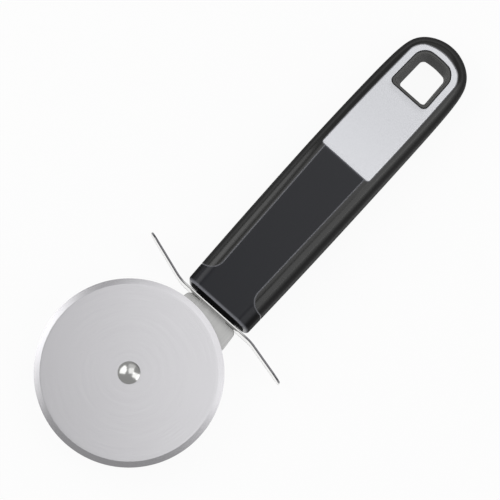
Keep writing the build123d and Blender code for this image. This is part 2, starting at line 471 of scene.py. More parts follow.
def grain_vector(tree: Tree, grain: Grain, pitch_mm: float, run_mm: float) -> Socket:
    """Coordinates in which one unit is a scratch's pitch across the grain and its run along it.

    Args:
        tree: The node tree.
        grain: Direction of the brushing.
        pitch_mm: Spacing of the scratches.
        run_mm: Length of the scratches.

    Returns:
        The vector's socket.
    """
    place = add_node(tree, "TexCoord").outputs["Object"]
    across, along = 1 / (pitch_mm * MM), 1 / (run_mm * MM)
    scales = {Grain.ALONG_X: (along, across, across), Grain.ALONG_Y: (across, along, across)}
    if grain in scales:
        return add_node(tree, "Mapping", {"Vector": place, "Scale": scales[grain]}).outputs["Vector"]
    axle = NodeBox.of("axle_rivet").centre * MM
    centred = add_node(tree, "Mapping", {"Vector": place, "Location": tuple(-axle)}).outputs["Vector"]
    parts = add_node(tree, "SeparateXYZ", {0: centred}).outputs
    flat = add_node(tree, "CombineXYZ", {"X": parts["X"], "Y": parts["Y"]}).outputs[0]
    radius = add_node(tree, "VectorMath", {0: flat}, operation="LENGTH").outputs["Value"]
    scaled = [
        add_node(tree, "Math", {0: value, 1: scale}, operation="MULTIPLY").outputs[0]
        for value, scale in ((radius, across), (parts["X"], along), (parts["Y"], along))
    ]
    return add_node(tree, "CombineXYZ", dict(enumerate(scaled))).outputs[0]


@dataclass(frozen=True)
class BrushedMetal:
    """Metal sheet brushed with an abrasive belt or wheel: fine scratches blur reflections across the grain.

    Attributes:
        name: Material name.
        colour: Colour of the bare metal.
        shade: Colour in the scratches, a little darker.
        roughness: Mean roughness.
        spread: How much the scratches change the roughness.
        anisotropy: How much longer reflections stretch across the grain.
        grain: Direction of the brushing.
        pitch_mm: Spacing of the scratches, drawn coarser than real so that it shows in the render.
        run_mm: Length of the scratches.
        depth_mm: Height of the scratches in the bump.
        sheared: Darker colour painted as shade along the edges that the mesh marks.
    """

    name: str
    colour: str
    shade: str
    roughness: float
    spread: float
    anisotropy: float
    grain: Grain
    pitch_mm: float
    run_mm: float
    depth_mm: float
    sheared: str = "#9a9a9c"

    def material(self) -> bpy.types.Material:
        """Builds the node material.

        Returns:
            The material.
        """
        material, tree = new_material(self.name)
        vector = grain_vector(tree, self.grain, self.pitch_mm, self.run_mm)
        scratches, bump = relief(tree, vector, scale=1.0, detail=3.0, depth_mm=self.depth_mm)
        shaded = add_node(tree, "ValToRGB", {"Fac": scratches})
        noise_range = (0.3, 0.7)
        for stop, place, tone in zip(shaded.color_ramp.elements, noise_range, (self.shade, self.colour)):
            stop.position, stop.color = place, linear(tone)
        # Painted shade: a darker colour along the edges that the mesh marks.
        edge_shade_mark = add_node(tree, "Attribute", attribute_name="sheared").outputs["Fac"]
        edges = {0: edge_shade_mark, MIX_A: shaded.outputs["Color"], MIX_B: linear(self.sheared)}
        low, high = self.roughness - self.spread, self.roughness + self.spread
        blur = add_node(tree, "MapRange", {"Value": scratches, "To Min": high, "To Max": low})
        look = {
            "Base Color": add_node(tree, "Mix", edges, data_type="RGBA").outputs[MIXED],
            "Metallic": 1.0,
            "Roughness": blur.outputs["Result"],
            "Anisotropic": self.anisotropy,
            "Normal": bump,
        }
        if self.grain is Grain.ROUND_AXLE:
            # A radial tangent, turned by a quarter.
            look["Tangent"] = add_node(tree, "Tangent", direction_type="RADIAL", axis="Z").outputs["Tangent"]
            look["Anisotropic Rotation"] = 0.25
        output_surface(tree, add_node(tree, "BsdfPrincipled", look).outputs["BSDF"])
        return material


@dataclass(frozen=True)
class PolishedMetal:
    """Cold-headed metal polished in a tumbler: a soft mirror with shallow dents.

    Attributes:
        name: Material name.
        colour: Colour of the metal.
        roughness: Roughness of the polish.
        dent_mm: Size of the dents.
        depth_mm: Depth of the dents in the bump.
    """

    name: str
    colour: str
    roughness: float
    dent_mm: float
    depth_mm: float

    def material(self) -> bpy.types.Material:
        """Builds the node material.

        Returns:
            The material.
        """
        material, tree = new_material(self.name)
        place = add_node(tree, "TexCoord").outputs["Object"]
        bump = relief(tree, place, scale=1 / (self.dent_mm * MM), detail=1.0, depth_mm=self.depth_mm)[1]
        colour = linear(self.colour)
        look = {"Base Color": colour, "Metallic": 1.0, "Roughness": self.roughness, "Normal": bump}
        output_surface(tree, add_node(tree, "BsdfPrincipled", look).outputs["BSDF"])
        return material


@dataclass(frozen=True)
class MouldedPlastic:
    """Moulded plastic or rubber: a pebbled skin, rougher and darkened by painted shade where the mesh marks
    steep flanks, and lightened by painted highlights along marked edges.

    Attributes:
        name: Material name.
        colour: Colour of the skin.
        flank_colour: Darker colour painted as shade on steep flanks and other marked places.
        rubbed_colour: Lighter colour painted as highlights along marked edges.
        roughness: Roughness of the skin.
        flank_roughness: Roughness of the flanks.
        rubbed_roughness: Roughness along the painted highlights.
        ior: Index of refraction.
        pebble_mm: Size of the pebbles, drawn coarser than real so that they show in the render.
        depth_mm: Height of the pebbles in the bump.
        mottle: How much the colour changes from place to place.
        mottle_mm: Size of the places where it does.
    """

    name: str
    colour: str
    flank_colour: str
    rubbed_colour: str
    roughness: float
    flank_roughness: float
    rubbed_roughness: float
    ior: float
    pebble_mm: float
    depth_mm: float
    mottle: float = 0.06
    mottle_mm: float = 9.0

    def material(self) -> bpy.types.Material:
        """Builds the node material.

        Returns:
            The material.
        """
        material, tree = new_material(self.name)
        place = add_node(tree, "TexCoord").outputs["Object"]
        bump = relief(tree, place, scale=1 / (self.pebble_mm * MM), detail=2.0, depth_mm=self.depth_mm)[1]
        spots = {"Vector": place, "Scale": 1 / (self.mottle_mm * MM), "Detail": 2.0}
        patches = add_node(tree, "TexNoise", spots).outputs["Fac"]
        # Painted shade darkens the marked flanks and painted highlights lighten the marked edges; each also
        # sets its own roughness.
        marked = (
            ("flank", self.flank_colour, self.flank_roughness),
            ("rubbed", self.rubbed_colour, self.rubbed_roughness),
        )
        colour, blur = linear(self.colour), self.roughness
        for name, tone, roughness in marked:
            mark = add_node(tree, "Attribute", attribute_name=name).outputs["Fac"]
            tones = {0: mark, MIX_A: colour, MIX_B: linear(tone)}
            colour = add_node(tree, "Mix", tones, data_type="RGBA").outputs[MIXED]
            steps = {"Value": mark, "To Min": blur, "To Max": roughness}
            blur = add_node(tree, "MapRange", steps).outputs["Result"]
        shades = {"Value": patches, "To Min": 1 - self.mottle, "To Max": 1 + self.mottle}
        shade = add_node(tree, "MapRange", shades).outputs["Result"]
        tint = add_node(tree, "VectorMath", {0: colour, "Scale": shade}, operation="SCALE")
        look = {"Base Color": tint.outputs["Vector"], "Roughness": blur, "IOR": self.ior, "Normal": bump}
        output_surface(tree, add_node(tree, "BsdfPrincipled", look).outputs["BSDF"])
        return material


# Stainless cutlery steel, ground round the axle: its sheen spreads outwards from the middle.
BLADE_STEEL = BrushedMetal(
    "ground_stainless_steel", colour="#d3d2d5", shade="#d0cfd2", roughness=0.25, spread=0.008,
    anisotropy=0.25, grain=Grain.ROUND_AXLE, pitch_mm=0.35, run_mm=14.0, depth_mm=0.00002,
)
# Stamped stainless strip with its rolled, satin surface.
STRAP_STEEL = BrushedMetal(
    "satin_stainless_strip", colour="#c2c2c1", shade="#bbbbba", roughness=0.34, spread=0.04,
    anisotropy=0.3, grain=Grain.ALONG_X, pitch_mm=0.3, run_mm=8.0, depth_mm=0.0002,
)
# Bright-rolled spring strip: smoother than the strap, with painted shade along its front edge that deepens
# out along the wings.
GUARD_STEEL = BrushedMetal(
    "bright_spring_strip", colour="#ececea", shade="#e6e6e4", roughness=0.14, spread=0.02,
    anisotropy=0.2, grain=Grain.ALONG_Y, pitch_mm=0.3, run_mm=10.0, depth_mm=0.0001, sheared="#77777a",
)
# Stainless rivet, headed cold and tumbled bright.
RIVET_STEEL = PolishedMetal(
    "tumbled_stainless_steel", colour="#d6d6d4", roughness=0.2, dent_mm=2.4, depth_mm=0.006
)
# Anodised aluminium, etched matt: pale and even.
INLAY_METAL = BrushedMetal(
    "matt_anodised_aluminium", colour="#dcdde1", shade="#d9dade", roughness=0.42, spread=0.02,
    anisotropy=0.0, grain=Grain.ALONG_X, pitch_mm=0.3, run_mm=0.9, depth_mm=0.0001,
)
# Glass-filled polypropylene with a satin skin and a faint blue cast; painted shade darkens its flanks and
# front end, and painted highlights lighten its seams and front edge.
CORE_PLASTIC = MouldedPlastic(
    "satin_polypropylene", colour="#10121a", flank_colour="#060608", rubbed_colour="#8c8d94", roughness=0.28,
    flank_roughness=1.0, rubbed_roughness=0.28, ior=1.42, pebble_mm=0.35, depth_mm=0.002,
)
# Thermoplastic elastomer: softer, with a warm cast; painted shade darkens its flanks, and painted highlights
# lighten its seams.
GRIP_RUBBER = MouldedPlastic(
    "soft_thermoplastic_elastomer", colour="#0f0f0d", flank_colour="#050505", rubbed_colour="#8c8c90",
    roughness=0.22, flank_roughness=0.95, rubbed_roughness=0.28, ior=1.56, pebble_mm=0.4, depth_mm=0.002,
)
# Polypropylene insert, moulded in dark grey; painted shade darkens the hole's walls, and a painted highlight
# lightens the lip.
EYELET_PLASTIC = MouldedPlastic(
    "grey_polypropylene", colour="#41413f", flank_colour="#353534", rubbed_colour="#4c4c4b", roughness=0.5,
    flank_roughness=0.6, rubbed_roughness=0.45, ior=1.45, pebble_mm=0.35, depth_mm=0.003,
)
# Acetal washer, left in its natural white.
WASHER_PLASTIC = MouldedPlastic(
    "natural_acetal", colour="#e2e0d8", flank_colour="#e2e0d8", rubbed_colour="#e2e0d8", roughness=0.4,
    flank_roughness=0.4, rubbed_roughness=0.4, ior=1.48, pebble_mm=0.4, depth_mm=0.002,
)


def finish_piece(piece: Object, finish: BrushedMetal | PolishedMetal | MouldedPlastic) -> None:
    """Gives a piece one finish all over."""
    piece.data.materials.clear()
    piece.data.materials.append(finish.material())


# Wheel and arm


@dataclass
class Wheel:
    """The cutting wheel: a flat ground disc, bevelled on both sides.

    Attributes:
        bore_radius: Radius of the bore for the rivet.
        bevel_width: Width of each bevel.
        edge_land: Thickness left at the cutting edge.
        crest_round: Radius where the flat turns into the bevel.
        crest_points: Points of the profile on that turn.
        bore_rim: Distance of the first circle of points from the bore.
        rings: Radii of further circles of points on the flat.
        crest_rim: Distance of the last circle on the flat from the bevel.
        edge_rim: Distance of a circle of points on the bevel from the edge.
        steps: Steps round the disc.
    """

    bore_radius: float = 2.05
    bevel_width: float = 2.0
    edge_land: float = 0.15
    crest_round: float = 0.6
    crest_points: int = 5
    bore_rim: float = 0.2
    rings: tuple[float, ...] = (6.0, 14.0, 22.0)
    crest_rim: float = 1.0
    edge_rim: float = 0.6
    steps: int = 360

    def build(self) -> None:
        """Makes the disc in place of the CAD disc. The flat turns into the bevel along a parabola."""
        box = NodeBox.of("blade")
        radius, half = box.size[0] / 2, box.size[2] / 2
        bevel_x = radius - self.bevel_width
        slope = (half - self.edge_land / 2) / self.bevel_width
        reach = self.crest_round * math.tan(math.atan(slope) / 2)
        ease = np.linspace(-1, 1, self.crest_points)
        crest_x = bevel_x + ease * reach
        crest_z = half - slope * reach * (1 + ease) ** 2 / 4
        inner_x = np.array(
            [self.bore_radius, self.bore_radius + self.bore_rim, *self.rings, bevel_x - self.crest_rim]
        )
        outer_x = np.array([radius - self.edge_rim, radius])
        outer_z = half - slope * (outer_x - bevel_x)
        level = np.concatenate([0 * inner_x + half, crest_z, outer_z])
        top = np.column_stack([np.concatenate([inner_x, crest_x, outer_x]), level])
        profile = np.concatenate([top, top[::-1] * (1, -1)]) + (0, box.centre[2])
        blade = MAKER.turned("cutting_wheel", profile, box.centre[:2], self.steps)
        finish_piece(blade, BLADE_STEEL)
        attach(blade, "wheel")
        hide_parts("blade")
        log.info("cutting_wheel: %.1f mm across, %d faces", radius * 2, len(blade.data.polygons))


@dataclass
class Axle:
    """The rivet and its washers.

    Attributes:
        shank_radius: Radius of the rivet's shank.
        head_height: Height of the domed head.
        head_rim: Height of the head's straight rim.
        rim_round: Bevel of the rims where they meet the sheet.
        tail_radius: Radius of the peened tail.
        dome_points: Points of the profile on each dome.
        steps: Steps round the rivet.
    """

    shank_radius: float = 2.0
    head_height: float = 1.9
    head_rim: float = 0.35
    rim_round: float = 0.12
    tail_radius: float = 3.3
    dome_points: int = 20
    steps: int = 96

    def dome(self, radius: float, edge_z: float, top_z: float) -> Array:
        """Profile of a low dome: the part of a circle that passes through its edge and its top.

        Args:
            radius: Radius of its edge.
            edge_z: Height of its edge.
            top_z: Height of its top.

        Returns:
            Points (radius, z), one a row, from the edge to the axis.
        """
        rise = top_z - edge_z
        sphere = (radius**2 + rise**2) / (2 * abs(rise))
        across = radius * np.sin(np.linspace(RIGHT_ANGLE, 0, self.dome_points))
        height = np.sqrt(sphere**2 - across**2) - math.sqrt(sphere**2 - radius**2)
        return np.column_stack([across, edge_z + math.copysign(1.0, rise) * height])

    def build(self) -> None:
        """Makes the rivet in place of the CAD rivet, and dresses the two washers."""
        box = NodeBox.of("axle_rivet")
        head_z, tail_z = box.high[2] - self.head_height, NodeBox.of("rear_washer").low[2]
        head_radius = box.size[0] / 2
        front = self.dome(head_radius, head_z + self.head_rim, box.high[2])[::-1]
        back = self.dome(self.tail_radius, tail_z - self.head_rim, box.low[2])
        middle = np.array(
            [
                (head_radius, head_z + self.rim_round),
                (head_radius - self.rim_round, head_z),
                (self.shank_radius, head_z),
                (self.shank_radius, tail_z),
                (self.tail_radius - self.rim_round, tail_z),
                (self.tail_radius, tail_z - self.rim_round),
            ]
        )
        profile = np.concatenate([front, middle, back])
        rivet = MAKER.turned("axle_rivet_dome", profile, box.centre[:2], self.steps)
        finish_piece(rivet, RIVET_STEEL)
        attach(rivet, "handle")
        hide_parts("axle_rivet")
        finish_piece(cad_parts["rear_washer"], RIVET_STEEL)
        finish_piece(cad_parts["spacer_washer"], WASHER_PLASTIC)
        log.info("axle_rivet_dome: head %.1f mm across", head_radius * 2)


@dataclass
class Guard:
    """The finger guard: a thin strip on edge with two bent wings.

    Attributes:
        thickness: Thickness of the strip.
        handle_bend_y: Where the wing on the +Y side starts, from the handle's axis.
        blade_bend_y: Where the other wing starts.
        bend_radius: Radius of both bends.
        tip_round: Radius of the strip's corners.
        edge_round: Radius of the strip's rolled edges.
        bend_points: Sections on each bend.
        tip_points: Sections on each tip's rounding.
        wing_rims: Distances of further sections from that rounding.
        centre_steps: Steps between the bends.
        edge_points: Points on each rolled edge.
        shade_start: How far from the handle's axis the shade painted on the front edge starts to deepen.
        shade_fade: Width over which it does.
        shade_least: Share of the painted shade at the axis.
    """

    thickness: float = 0.76
    handle_bend_y: float = 15.0
    blade_bend_y: float = 17.0
    bend_radius: float = 16.0
    tip_round: float = 4.0
    edge_round: float = 0.22
    bend_points: int = 14
    tip_points: int = 12
    wing_rims: tuple[float, ...] = (1.0, 6.0)
    centre_steps: int = 7
    edge_points: int = 5
    shade_start: float = 11.0
    shade_fade: float = 4.0
    shade_least: float = 0.2

    def middle_line(self, box: NodeBox) -> Array:
        """Plan line along the middle of the strip, from one tip to the other, with its bends as arcs.

        Args:
            box: The CAD guard's box.

        Returns:
            Points of the line, one a row.
        """
        half = self.thickness / 2
        seat_x = NodeBox.of("handle_core").low[0] - half
        upper = np.array([[box.high[0] - half, box.high[1]], [seat_x, self.handle_bend_y]])
        lower = np.array([[seat_x, -self.blade_bend_y], [box.low[0] + half, box.low[1]]])
        first = fillet_arc(*upper, lower[0], self.bend_radius, self.bend_points)
        second = fillet_arc(upper[1], *lower, self.bend_radius, self.bend_points)
        rims = self.tip_round + np.array(self.wing_rims)
        reach = np.concatenate([self.tip_round * quarter(self.tip_points), rims])[:, None]
        upper_way = (first[0] - upper[0]) / abs(first[0] - upper[0])[1]
        lower_way = (second[-1] - lower[1]) / abs(second[-1] - lower[1])[1]
        centre = np.linspace(first[-1], second[0], self.centre_steps + 1)[1:-1]
        return np.concatenate(
            [upper[0] + reach * upper_way, first, centre, second, lower[1] + reach[::-1] * lower_way]
        )

    def section(self, height: Array, half: Array) -> Array:
        """Closed cross-section at each place: a rectangle with rounded edges.

        Args:
            height: Half height of the strip at each place.
            half: Half thickness at each place.

        Returns:
            Offsets (across, up), as places by points by 2.
        """
        angle = np.linspace(0, RIGHT_ANGLE, self.edge_points)
        radius = np.minimum(self.edge_round, half)[:, None]
        parts = []
        for quarter_turn, (side, level) in enumerate(((1, 1), (-1, 1), (-1, -1), (1, -1))):
            bow = angle + quarter_turn * RIGHT_ANGLE
            across = side * (half[:, None] - radius) + radius * np.cos(bow)
            up = level * (height[:, None] - radius) + radius * np.sin(bow)
            parts.append(np.stack([across, up], axis=-1))
        return np.concatenate(parts, axis=1)

    def build(self) -> None:
        """Makes the strip in place of the CAD guard, with shade painted along its edge towards the front."""
        box = NodeBox.of("finger_guard")
        line = self.middle_line(box)
        ahead = unit(np.gradient(line, axis=0))
        normal = np.column_stack([ahead[:, 1], -ahead[:, 0]])
        from_tip = box.high[1] - np.abs(line[:, 1])
        height = box.size[2] / 2 - rounding(self.tip_round, from_tip)
        half = self.thickness / 2 - rounding(self.edge_round, from_tip)
        shape = self.section(height, half)
        plan = line[:, None] + normal[:, None] * shape[..., :1]
        points = lifted(plan, box.centre[2] + shape[..., 1])
        rows, columns = shape.shape[:2]
        faces = grid_faces(rows, columns, False, True).tolist()
        faces += [list(range(columns)), list(range((rows - 1) * columns, rows * columns))]
        # The painted shade starts where the front edge's rounding does, and is full half way up it; along
        # the wings it deepens outwards.
        edge = np.clip(((shape[..., 1] - height[:, None]) / self.edge_round + 1) / 0.5, 0, 1)
        wing = np.clip((np.abs(line[:, 1]) - self.shade_start) / self.shade_fade, self.shade_least, 1)
        guard = MAKER.make("finger_guard_strip", points.reshape(-1, 3), faces, sheared=edge * wing[:, None])
        finish_piece(guard, GUARD_STEEL)
        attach(guard, "handle")
        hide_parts("finger_guard")
        finish_piece(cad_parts["strap"], STRAP_STEEL)
        log.info("finger_guard_strip: %.1f mm from tip to tip", box.size[1])


# Handle


@dataclass(frozen=True)
class QuadOutline:
    """Outline with four rounded corners, whose far end may bow out: the inlay plate and the hanging hole.

    Attributes:
        near_x: The end nearer to the wheel.
        far_x: The other end, at the top of its bow.
        near_half: Half width at the near end.
        far_half: Half width at the far end.
        near_round: Radius of the near corners.
        far_round: Radius of the far corners.
        end_bulge: How far the far end bows out.
        side_bulge: How far each side bows out.
        side_points: Points on each side.
        corner_points: Points on each corner.
    """

    near_x: float
    far_x: float
    near_half: float
    far_half: float
    near_round: float
    far_round: float
    end_bulge: float
    side_bulge: float = 0.0
    side_points: int = 26
    corner_points: int = 12

    def loop(self, inset: float) -> Array:
        """Points round the outline, drawn inwards, as many for any inset.

        A straight outline is bent: its sides by a parabola along them, and its far end by one across it,
        which fades towards the near end as the fourth power of the place.

        Args:
            inset: How far inwards, or outwards if it is below 0.

        Returns:
            The points, one a row, anticlockwise from the near corner on the -Y side.
        """
        near, corner = self.near_x + inset, self.far_x - self.end_bulge - inset
        near_half, far_half = self.near_half - inset, self.far_half - inset
        corners = np.array([(near, -near_half), (corner, -far_half), (corner, far_half), (near, near_half)])
        scale = near_half / self.near_half
        radii = [size * scale for size in (self.near_round, self.far_round, self.far_round, self.near_round)]
        x, y = rounded_loop(corners, radii, self.side_points, self.corner_points).T
        along = np.clip((x - near) / (corner - near), 0, 1)
        half = near_half + (far_half - near_half) * along
        bow = self.side_bulge * 4 * along * (1 - along)
        across = np.clip(1 - (y / half) ** 2, 0, 1)
        return np.column_stack([x + self.end_bulge * along**4 * across, y * (1 + bow / half)])

    def side_line(self, from_half: float) -> Array:
        """The +Y half of the outline, from its near edge at a given half width to the tip of its far end.

        Args:
            from_half: Half width at which it starts.

        Returns:
            The points, one a row.
        """
        loop = self.loop(0)
        upper = loop[loop[:, 1] >= 0][::-1]
        start = int(np.argmax(upper[:, 1] > from_half))
        return np.concatenate([upper[start:], [(self.far_x, 0.0)]])


@dataclass(frozen=True)
class HandleForm:
    """Outer form of the handle and the lines that part its pieces.

    Attributes:
        front_height: Height of the front face at the front end.
        tail_height: Height of the front face at the hanging end.
        crest_to_plate: How far the highest place lies before the plate.
        widest_from_tail: How far the widest place lies from the hanging end.
        front_sides: Guide points of the side up to the widest place, as shares of length and half width.
        rear_sides: Guide points of the side from there to the hanging end.
        side_points: Points on each of these two curves.
        broad_round: Rounding of the front face's long edges in the front half.
        tight_round: The same beside the plate.
        round_ease: Length before the plate over which one turns into the other.
        back_round: Rounding of the back's edges.
        flank_start: Lean of the skin at which a flank starts to count as steep.
        flank_ease: Further lean at which it fully does.
        panel_front_half: Half width of the panel at its front.
        panel_rear_half: Half width of the panel at the plate.
        hook_round: Radius of the hooks that end the grip at the front.
        plate_far_half: Half width of the plate at its far corners.
        sheet: Depth of the plate's bed under the front face.
        bed_ledge: How far the grip reaches under the plate's edge.
        seam_round: Rounding of the edges where pieces meet, which makes each seam a fine groove.
        seam_points: Rows of points on that rounding.
        highlight_width: How far from a seam the highlight is painted.
    """

    front_height: float = 17.5
    tail_height: float = 12.0
    crest_to_plate: float = 7.2
    widest_from_tail: float = 47.9
    front_sides: Guides = ((0.0, 0.942), (0.279, 0.978), (0.577, 1.0), (1.0, 1.0))
    rear_sides: Guides = ((0.0, 1.0), (0.975, 1.0), (0.785, 0.958), (1.0, 0.754), (1.0, 0.0))
    side_points: int = 801
    broad_round: float = 5.3
    tight_round: float = 4.8
    round_ease: float = 30.0
    back_round: float = 4.0
    flank_start: float = 0.5
    flank_ease: float = 0.35
    panel_front_half: float = 7.9
    panel_rear_half: float = 9.0
    hook_round: float = 5.0
    plate_far_half: float = 9.9
    sheet: float = 0.82
    bed_ledge: float = 1.0
    seam_round: float = 0.26
    seam_points: int = 6
    highlight_width: float = 0.3

    @property
    def tail_x(self) -> float:
        """Hanging end of the handle."""
        return float(NodeBox.of("soft_grip").high[0])

    @property
    def front_x(self) -> float:
        """Front end of the handle: the origin is its middle."""
        return -self.tail_x

    @property
    def collar_x(self) -> float:
        """Where the collar ends and the grip starts."""
        return float(NodeBox.of("soft_grip").low[0])

    @property
    def seam_rows(self) -> Array:
        """Distances from a seam of the rows of points on its rounding."""
        return self.seam_round * quarter(self.seam_points)

    @property
    def plate(self) -> QuadOutline:
        """Outline of the inlay plate, whose far end reaches a little past the CAD plate's.

        Returns:
            The outline.
        """
        box, past = NodeBox.of("inlay_plate"), 0.15
        return QuadOutline(
            near_x=box.low[0], far_x=box.high[0] + past, near_half=box.high[1], far_half=self.plate_far_half,
            near_round=1.0, far_round=3.2, end_bulge=3.2, side_bulge=0.3,
        )

    @property
    def bed(self) -> QuadOutline:
        """Outline of the core's back under the plate.

        Returns:
            The outline.
        """
        box, ledge = NodeBox.of("inlay_plate"), self.bed_ledge
        return QuadOutline(
            near_x=box.low[0], far_x=box.high[0] - ledge, near_half=self.panel_rear_half,
            far_half=self.plate_far_half - ledge, near_round=0.02, far_round=3.0, end_bulge=2.8,
        )

    @property
    def hole(self) -> QuadOutline:
        """Outer outline of the hanging eyelet, a little inside the CAD eyelet's near end and sides.

        Returns:
            The outline.
        """
        box, end_gap, side_gap = NodeBox.of("hang_eyelet"), 0.25, 0.15
        return QuadOutline(
            near_x=box.low[0] + end_gap, far_x=box.high[0], near_half=box.high[1] - side_gap, far_half=7.4,
            near_round=2.0, far_round=4.0, end_bulge=0.9,
        )

    @property
    def waist(self) -> QuadOutline:
        """Outline of the hole where it is narrowest, by its gaps to the outer outline.

        Returns:
            The outline.
        """
        hole, near_gap, far_gap, side_gap = self.hole, 2.2, 2.6, 2.3
        return QuadOutline(
            near_x=hole.near_x + near_gap, far_x=hole.far_x - far_gap, near_half=hole.near_half - side_gap,
            far_half=5.2, near_round=1.1, far_round=1.5, end_bulge=0.6,
        )

    def side(self) -> tuple[Array, Array]:
        """Half outline on the +Y side, from the front end to the tip, and its inward normals.

        Two Bezier curves meet at the widest place, and a normal is the tangent turned a quarter.

        Returns:
            The points and the unit normals, one a row.
        """
        half_width = NodeBox.of("soft_grip").high[1]
        widest_x = self.tail_x - self.widest_from_tail
        share = np.linspace(0, 1, self.side_points)
        spans = (
            (self.front_x, widest_x - self.front_x, self.front_sides),
            (widest_x, self.widest_from_tail, self.rear_sides),
        )
        front, rear = [
            bezier(np.array([(start + along * length, wide * half_width) for along, wide in guides]), share)
            for start, length, guides in spans
        ]
        points = np.concatenate([front[:-1], rear])
        ahead = np.gradient(points, axis=0)
        ahead[-1] = (0.0, -1.0)
        ahead = unit(ahead)
        return points, np.column_stack([ahead[:, 1], -ahead[:, 0]])

    def top(self, x: Array) -> Array:
        """Height of the front face: a parabola up to its crest, then a smooth step down to the tail.

        Args:
            x: Places along the handle.

        Returns:
            The height at each.
        """
        crest = NodeBox.of("handle_core").high[2]
        crest_x = self.plate.near_x - self.crest_to_plate
        rise = np.clip((crest_x - x) / (crest_x - self.front_x), 0, 1) ** 2
        fall = smooth_step(np.clip((x - crest_x) / (self.tail_x - crest_x), 0, 1))
        return crest - (crest - self.front_height) * rise - (crest - self.tail_height) * fall

    def panel_half(self, x: Array) -> Array:
        """Half width of the panel: a quarter circle at the hook, then a straight line to the plate.

        Args:
            x: Places along the handle.

        Returns:
            The half width at each.
        """
        past = x - self.collar_x
        short = np.clip(self.hook_round - past, 0, self.hook_round)
        share = past / (self.plate.near_x - self.collar_x)
        straight = self.panel_front_half + (self.panel_rear_half - self.panel_front_half) * share
        return straight + self.hook_round - np.sqrt(self.hook_round**2 - short**2)

    def panel_line(self) -> Array:
        """Seam between panel and grip on the +Y side, from the hook to the plate.

        Returns:
            Points of the seam, one a row.
        """
        hook_points, straight_steps = 28, 11
        hook_x = self.collar_x + self.hook_round * quarter(hook_points)
        x = np.concatenate([hook_x, np.linspace(hook_x[-1], self.plate.near_x, straight_steps + 1)[1:]])
        return np.column_stack([x, self.panel_half(x)])

    def border(self, face: Face) -> Array:
        """Inner border of the grip on the +Y side, from the hook to the tip of the plate or its bed."""
        outline = self.plate if face is Face.FRONT else self.bed
        return np.concatenate([self.panel_line(), outline.side_line(self.panel_rear_half)])

    def seam_distance(self, plan: Array, face: Face) -> Array:
        """Distance in plan of each point from the nearest seam on one side of the handle.

        Args:
            plan: Points in plan, in any array shape.
            face: Front or back.

        Returns:
            The distances, in the same shape.
        """
        flat = plan.reshape(-1, 2).copy()
        flat[:, 1] = np.abs(flat[:, 1])
        outside = self.side()[0][0, 1] * 2
        distance = line_distance(flat, np.concatenate([[(self.collar_x, outside)], self.border(face)]))
        if face is Face.FRONT:
            plate = self.plate
            edge = np.array([(plate.near_x, 0.0), (plate.near_x, plate.near_half - plate.near_round)])
            distance = np.minimum(distance, line_distance(flat, edge))
        return distance.reshape(plan.shape[:-1])

    def rubbed(self, distance: Array) -> Array:
        """How much highlight is painted: 1 at a seam, falling off with the distance as a cosine."""
        share = np.clip(distance / self.highlight_width, 0, 1)
        return (1 + np.cos(math.pi * share)) / 2

    def edge_radius(self, x: Array, face: Face) -> Array:
        """Rounding of the long edges: on the front it tightens towards the plate, as a smooth step.

        Args:
            x: Places along the handle.
            face: Front or back.

        Returns:
            The radius at each.
        """
        if face is Face.BACK:
            return np.full_like(x, self.back_round)
        ease = smooth_step(np.clip(1 - (self.plate.near_x - x) / self.round_ease, 0, 1))
        return self.broad_round + (self.tight_round - self.broad_round) * ease

    def steep(self, lean: Array) -> Array:
        """How much of a steep flank a place is: a smooth step in its lean."""
        return smooth_step(np.clip((lean - self.flank_start) / self.flank_ease, 0, 1))

    def lean(self, x: Array, inset: Array, face: Face) -> Array:
        """How far the skin's normal leans outwards: 0 on the flat and 1 on the side."""
        radius = self.edge_radius(x, face)
        return np.clip((radius - inset) / radius, 0, 1)

    def skin(self, plan: Array, inset: Array, outward: Array, face: Face, sink: Array) -> Array:
        """Points on or under the handle's skin.

        Nearer to the outline than the rounding's radius, the skin is a quarter circle. Each point then
        goes in along the skin's normal by its sink.

        Args:
            plan: Place of each point in plan.
            inset: Its distance in from the outline.
            outward: Unit direction in plan to the outline.
            face: Front or back.
            sink: How far the point lies under the skin.

        Returns:
            The points, with their height added.
        """
        x = plan[..., 0]
        lean = self.lean(x, inset, face)
        drop = rounding(self.edge_radius(x, face), inset) + sink * np.sqrt(1 - lean**2)
        height = self.top(x) - drop if face is Face.FRONT else drop
        return lifted(plan - outward * (sink * lean)[..., None], height)


